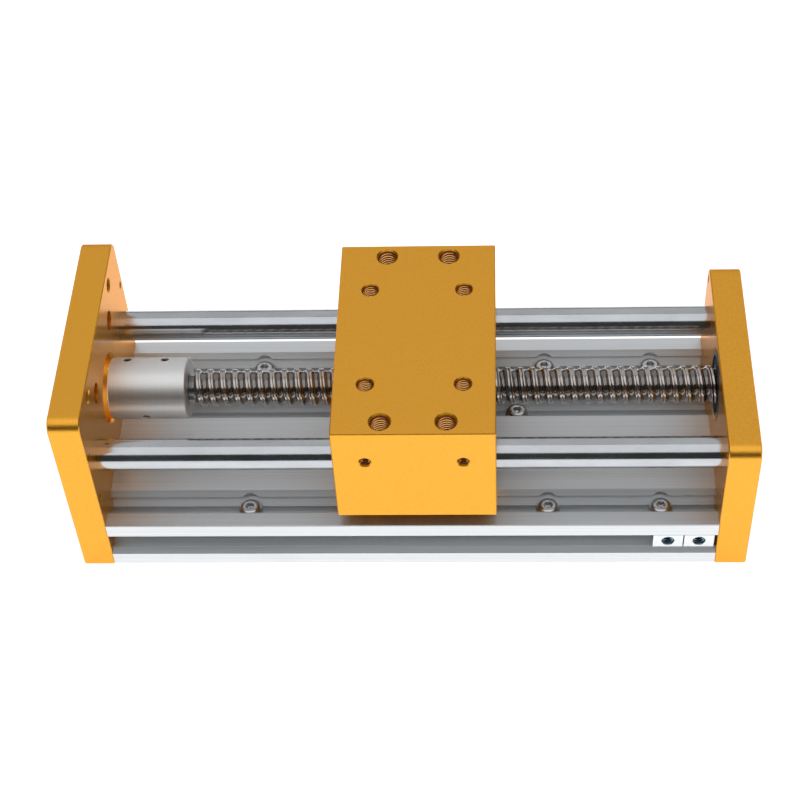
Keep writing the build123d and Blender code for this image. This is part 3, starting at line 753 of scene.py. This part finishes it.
class SLIDE_OT_tapped_holes(Operator):
    """Cuts and threads the tapped holes of the carriage, plates and slot nuts"""
    bl_idname = "slide.tapped_holes"
    bl_label = "Tapped holes"

    def execute(self, context):
        settings = context.scene.slide_tap
        # Lit crest and shaded flank colours: painted highlight and painted shade in the threads
        gold = (thread_finish("gold_lit_crest", settings.lit_crest, 0.3),
                thread_finish("gold_shaded_flank", settings.shaded_flank, 0.5))
        steel = (thread_finish("lit_nut_crest", settings.lit_nut_crest, 0.25),
                 thread_finish("shaded_nut_flank", settings.shaded_nut_flank, 0.4))
        holes = self.carriage_holes()
        cutters = [hole_cutter(place, tap.radius, tap.mouth, tap.depth - CUT_END) for place, tap in holes]
        carved_node("carriage_body", "carriage_block", cutters)
        self.threads("carriage_threads", "carriage", "gold_anodised", gold, holes, settings)
        self.threads("end_plate_threads", "frame", "gold_anodised", gold, self.plate_holes(), settings)
        for node, body in (("slot_nut_inner", "inner_slot_nut"), ("slot_nut_outer", "outer_slot_nut")):
            place, tap = self.nut_hole(node)
            cutter = hole_cutter(place, tap.radius, tap.mouth, tap.depth + CUT_END)
            carved_node(node + "_body", node, [cutter])
            self.threads(node + "_thread", body, "zinc_steel", steel, [(place, tap)], settings)
        return {"FINISHED"}

    def threads(self, name, body, slot, finishes, holes, settings):
        """One piece with the threads of several holes."""
        vertices, faces, crests = [], [], []
        for place, tap in holes:
            crests += tapped_thread(vertices, faces, place, tap, settings)
        piece = mesh_object(name, vertices, faces)
        lit_crest_finish, shaded_flank_finish = finishes
        piece.data.materials.append(shaded_flank_finish)
        piece.data.materials.append(lit_crest_finish)
        # The crests get the lighter colour, the painted highlight; the other faces keep the painted shade
        for index in crests:
            piece.data.polygons[index].material_index = 1
        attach(piece, body)

    def carriage_holes(self):
        """Tapped holes of the carriage: eight on top, two in front and two behind."""
        holes = []
        middle, top, half = CARRIAGE_MIDDLE.x, CARRIAGE_HIGH.z, CARRIAGE_HIGH.y
        for sx in (-1, 1):
            for sy in (-1, 1):
                outer = (middle + sx * OUTER_TAP_X, sy * OUTER_TAP_Y, top)
                inner = (middle + sx * INNER_TAP_X, sy * INNER_TAP_Y, top)
                side = (middle + sx * SIDE_TAP_X, sy * half, top - SIDE_TAP_DROP)
                holes.append((facing(outer, (0, 0, 1)), OUTER_TAP))
                holes.append((facing(inner, (0, 0, 1)), INNER_TAP))
                holes.append((facing(side, (0, sy, 0)), SIDE_TAP))
        return holes

    def plate_holes(self):
        """Small tapped holes near the long edges of both end plates, on the inside."""
        holes = []
        for x, inward in ((MOTOR_PLATE_FACE, 1), (BEARING_PLATE_FACE, -1)):
            for sy in (-1, 1):
                for sz in (-1, 1):
                    spot = (x, sy * PLATE_TAP_Y, AXIS_HEIGHT + sz * PLATE_TAP_Z)
                    holes.append((facing(spot, (inward, 0, 0)), PLATE_TAP))
        return holes

    def nut_hole(self, node):
        """The tapped hole through a slot nut, from the front."""
        low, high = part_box(node)
        middle = (low + high) / 2
        place = facing((middle.x, low.y, middle.z), (0, -1, 0))
        return place, NUT_TAP._replace(depth=high.y - low.y)


# Bed screws

SCREW_ROWS = (-52 * MM, 44 * MM, 80 * MM)
OUTER_SLOT = 30 * MM
MIDDLE_ROW = 34.5 * MM
MIDDLE_SLOT = 10 * MM
DOME_STEPS = 8


class SLIDE_OT_bed_screws(Operator):
    """Makes the domed socket screws in the top slots of the bed"""
    bl_idname = "slide.bed_screws"
    bl_label = "Bed screws"

    def execute(self, context):
        settings = context.scene.slide_bolts
        low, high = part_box("bed_screws")
        seat = high.z - settings.head
        vertices, faces = [], []
        spots = [(x, y) for x in SCREW_ROWS for y in (-OUTER_SLOT, OUTER_SLOT)]
        spots += [(MIDDLE_ROW, -MIDDLE_SLOT), (MIDDLE_ROW, MIDDLE_SLOT)]
        for x, y in spots:
            place = Matrix.Translation((x, y, seat))
            turned(vertices, faces, place, self.profile(settings, low.z - seat))
        piece = mesh_object("bed_screw_heads", vertices, faces, math.radians(35))
        piece.data.materials.append(bpy.data.materials[finish_name("screw_steel")])
        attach(piece, "frame")
        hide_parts("bed_screws")
        return {"FINISHED"}

    def profile(self, settings, tip):
        """Heights and radii of one screw, from the tip of its shank to the bottom of its socket."""
        shank, rim, top, crown = settings.shank, settings.rim, settings.head, settings.crown
        foot, wall = 0.2 * MM, settings.wall
        points = [(tip, 0.8 * shank), (tip + 0.2 * shank, shank), (0.0, shank)]
        points += [(0.0, rim - foot), (foot, rim)]
        for step in range(DOME_STEPS + 1):
            angle = math.pi / 2 * step / DOME_STEPS
            points.append((wall + (top - wall) * math.sin(angle), crown + (rim - crown) * math.cos(angle)))
        socket, edge = settings.socket / math.sqrt(3), 0.12 * MM
        bottom = top - settings.socket_depth
        points += [(top, socket + edge), (top - edge, socket, 6), (bottom, socket, 6)]
        points.append((bottom - 0.3 * MM, 0.3 * socket))
        return points


# Shaft coupler

BORE_STEP = 0.2 * MM
MOTOR_EDGE_SHARE = 0.3
SEAT_MOUTH_SHARE = 1.12
SEAT_FLOOR = 4.5 * MM
INDEX_DEPTH = 4.0 * MM
SET_SCREW_GAP = 0.02 * MM
SET_SCREW_SINK = 0.5 * MM
SET_SCREW_SOCKET = 0.75 * MM


class SLIDE_OT_coupler(Operator):
    """Makes the shaft coupler with its set screws and index hole"""
    bl_idname = "slide.coupler"
    bl_label = "Shaft coupler"

    def execute(self, context):
        settings = context.scene.slide_coupler
        start, end = COUPLER_LOW.x, COUPLER_HIGH.x
        radius, edge = (COUPLER_HIGH.z - COUPLER_LOW.z) / 2, settings.edge
        motor_edge = MOTOR_EDGE_SHARE * edge
        split = end - settings.screw_bore_depth
        motor_bore, screw_bore = settings.motor_bore, settings.screw_bore
        profile = [
            (split, BORE_STEP), (split, motor_bore), (start + edge, motor_bore), (start, motor_bore + edge),
            (start, radius - motor_edge), (start + motor_edge, radius),
            (end - edge, radius), (end, radius - edge), (end, screw_bore + edge), (end - edge, screw_bore),
            (split + BORE_STEP, screw_bore), (split + BORE_STEP, BORE_STEP),
        ]
        axis = facing((0, 0, AXIS_HEIGHT), (1, 0, 0))
        vertices, faces = [], []
        turned(vertices, faces, axis, profile, steps=120)
        piece = mesh_object("coupler_body", vertices, faces)
        seats = self.seats(settings, radius)
        carve(piece, [hole_cutter(seat, hole, SEAT_MOUTH_SHARE * hole, depth) for seat, hole, depth in seats])
        piece.data.materials.clear()
        piece.data.materials.append(bpy.data.materials[finish_name("turned_aluminium")])
        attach(piece, "screw")
        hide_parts("shaft_coupler")
        self.set_screws(seats[:-1])
        return {"FINISHED"}

    def seats(self, settings, radius):
        """Places of the four set screws and, last, the index hole, on the coupler's surface."""
        seats = []
        for x in (settings.first_seat, settings.second_seat):
            for turn in (settings.seat_turn, settings.seat_turn - math.pi / 2):
                seats.append((self.outward(x, radius, turn), settings.seat, radius - SEAT_FLOOR))
        middle = (settings.first_seat + settings.second_seat) / 2
        index_place = self.outward(middle, radius, settings.index_turn)
        seats.append((index_place, settings.index, INDEX_DEPTH))
        return seats

    def outward(self, x, radius, turn):
        """A place on the coupler's surface, facing outward at a turn about its axis."""
        return facing(around_x(x, radius, turn, AXIS_HEIGHT), (0, math.cos(turn), math.sin(turn)))

    def set_screws(self, seats):
        """Makes the sunken set screws with their hexagon sockets."""
        vertices, faces = [], []
        socket, top, edge = SET_SCREW_SOCKET, -SET_SCREW_SINK, 0.1 * MM
        for seat, hole, depth in seats:
            body = hole - SET_SCREW_GAP
            profile = [(edge - depth, body), (top - 2 * edge, body), (top, body - 2 * edge)]
            profile += [(top, socket + edge), (top - edge, socket, 6), (top - 1.5 * MM, socket, 6)]
            turned(vertices, faces, seat, profile)
        piece = mesh_object("coupler_grub_screws", vertices, faces)
        piece.data.materials.append(bpy.data.materials[finish_name("spring_steel")])
        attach(piece, "screw")
        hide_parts("coupler_set_screws")


# Studio

FLOOR_HALF = 6.0
FLOOR_DROP = 0.05 * MM
ROOM_COLOUR = (0.95, 0.97, 1.0, 1.0)
ROOF_PLACE, ROOF_AIM, ROOF_SIZE = (0.0, -0.38, 1.2), (0.0, -0.38, 0.0), (2.4, 1.4)
BACK_PLACE, BACK_AIM, BACK_SIZE = (0.0, 1.04, 0.95), (0.0, 0.0, 0.04), (2.6, 1.7)


def area_light(name, place, aim, size, level):
    """A soft box whose face shows at a level, where 1 is white."""
    data = bpy.data.lights.new(name, "AREA")
    data.shape = "RECTANGLE"
    data.size, data.size_y = size
    data.energy = level * math.pi * size[0] * size[1]
    lamp = bpy.data.objects.new(name, data)
    bpy.context.scene.collection.objects.link(lamp)
    lamp.location = place
    lamp.rotation_euler = (Vector(aim) - Vector(place)).to_track_quat("-Z", "Y").to_euler()


def floor_material(colour, level):
    """White under the camera, and still with the shadow of the slide."""
    finish = Finish("floor", colour, 0.9, metallic=0.0)
    path = finish.node("ShaderNodeLightPath")
    seen = path.outputs["Is Camera Ray"]
    for ray in ("Is Glossy Ray", "Is Transmission Ray"):
        either = finish.node("ShaderNodeMath", operation="MAXIMUM")
        finish.join(seen, either.inputs[0])
        finish.join(path.outputs[ray], either.inputs[1])
        seen = either.outputs[0]
    strength = finish.node("ShaderNodeMath", operation="MULTIPLY")
    strength.inputs[1].default_value = level
    finish.join(seen, strength.inputs[0])
    finish.shader.inputs["Emission Color"].default_value = (1.0, 1.0, 1.0, 1.0)
    finish.join(strength.outputs[0], finish.shader.inputs["Emission Strength"])
    finish.shader.inputs["Specular IOR Level"].default_value = 0.1
    return finish.material


class SLIDE_OT_studio(Operator):
    """Sets the floor, the soft lights and the camera"""
    bl_idname = "slide.studio"
    bl_label = "Studio"

    def execute(self, context):
        settings = context.scene.slide_studio
        self.floor(settings)
        self.lights(settings)
        self.camera(context, settings)
        context.scene.view_settings.view_transform = "Standard"
        return {"FINISHED"}

    def floor(self, settings):
        """A floor that reaches past the camera's view."""
        signs = ((-1, -1), (1, -1), (1, 1), (-1, 1))
        corners = [(sx * FLOOR_HALF, sy * FLOOR_HALF, -FLOOR_DROP) for sx, sy in signs]
        floor = mesh_object("floor", corners, [(0, 1, 2, 3)])
        floor.data.materials.append(floor_material(settings.floor_colour, settings.floor_level))

    def lights(self, settings):
        """Plain light all round, a soft box above and a tall one behind."""
        world = bpy.data.worlds.new("room")
        bpy.context.scene.world = world
        world.use_nodes = True
        background = world.node_tree.nodes["Background"]
        background.inputs["Color"].default_value = ROOM_COLOUR
        background.inputs["Strength"].default_value = settings.room_level
        area_light("roof_light", ROOF_PLACE, ROOF_AIM, ROOF_SIZE, settings.roof_level)
        area_light("back_light", BACK_PLACE, BACK_AIM, BACK_SIZE, settings.back_level)

    def camera(self, context, settings):
        """A camera at its distance from the aim, tilted, turned and rolled."""
        turn, tilt, roll = settings.turn, settings.tilt, settings.roll
        forward = Vector((-math.sin(turn) * math.cos(tilt), math.cos(turn) * math.cos(tilt), -math.sin(tilt)))
        level = Vector((math.cos(turn), math.sin(turn), 0.0))
        up = level.cross(forward)
        right = math.cos(roll) * level - math.sin(roll) * up
        top = math.cos(roll) * up + math.sin(roll) * level
        data = bpy.data.cameras.new("camera")
        data.lens = settings.lens
        data.clip_start = 0.01
        data.shift_y = settings.shift
        camera = bpy.data.objects.new("camera", data)
        context.scene.collection.objects.link(camera)
        axes = Matrix((right, top, -forward)).transposed().to_4x4()
        place = Vector(settings.aim) - settings.distance * forward
        camera.matrix_world = Matrix.Translation(place) @ axes
        context.scene.camera = camera


class SLIDE_PT_panel(Panel):
    """Lists the pieces of the slide and their settings"""
    bl_idname = "SLIDE_PT_panel"
    bl_label = "Ball screw slide"
    bl_space_type = "VIEW_3D"
    bl_region_type = "UI"
    bl_category = "Slide"

    def draw(self, context):
        scene = context.scene
        for operator, settings in STEPS:
            column = self.layout.column()
            column.operator(operator)
            for name in getattr(scene, settings).__annotations__:
                column.prop(getattr(scene, settings), name)


SETTINGS = {
    "slide_finish": FinishSettings,
    "slide_screw": ScrewSettings,
    "slide_tap": TapSettings,
    "slide_bolts": BoltSettings,
    "slide_coupler": CouplerSettings,
    "slide_studio": StudioSettings,
}
STEPS = (
    ("slide.finishes", "slide_finish"),
    ("slide.ball_screw", "slide_screw"),
    ("slide.tapped_holes", "slide_tap"),
    ("slide.bed_screws", "slide_bolts"),
    ("slide.coupler", "slide_coupler"),
    ("slide.studio", "slide_studio"),
)
OPERATORS = (
    SLIDE_OT_finishes, SLIDE_OT_ball_screw, SLIDE_OT_tapped_holes, SLIDE_OT_bed_screws, SLIDE_OT_coupler,
    SLIDE_OT_studio,
)


def register():
    for group in SETTINGS.values():
        bpy.utils.register_class(group)
    for operator in OPERATORS:
        bpy.utils.register_class(operator)
    bpy.utils.register_class(SLIDE_PT_panel)
    for name, group in SETTINGS.items():
        setattr(bpy.types.Scene, name, PointerProperty(type=group))


def unregister():
    for name in SETTINGS:
        delattr(bpy.types.Scene, name)
    bpy.utils.unregister_class(SLIDE_PT_panel)
    for operator in reversed(OPERATORS):
        bpy.utils.unregister_class(operator)
    for group in reversed(SETTINGS.values()):
        bpy.utils.unregister_class(group)


def main():
    """Builds the looks of the slide."""
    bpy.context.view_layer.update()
    register()
    bpy.ops.slide.finishes()
    bpy.ops.slide.ball_screw()
    bpy.ops.slide.tapped_holes()
    bpy.ops.slide.bed_screws()
    bpy.ops.slide.coupler()
    bpy.ops.slide.studio()


if __name__ == "__main__":
    main()
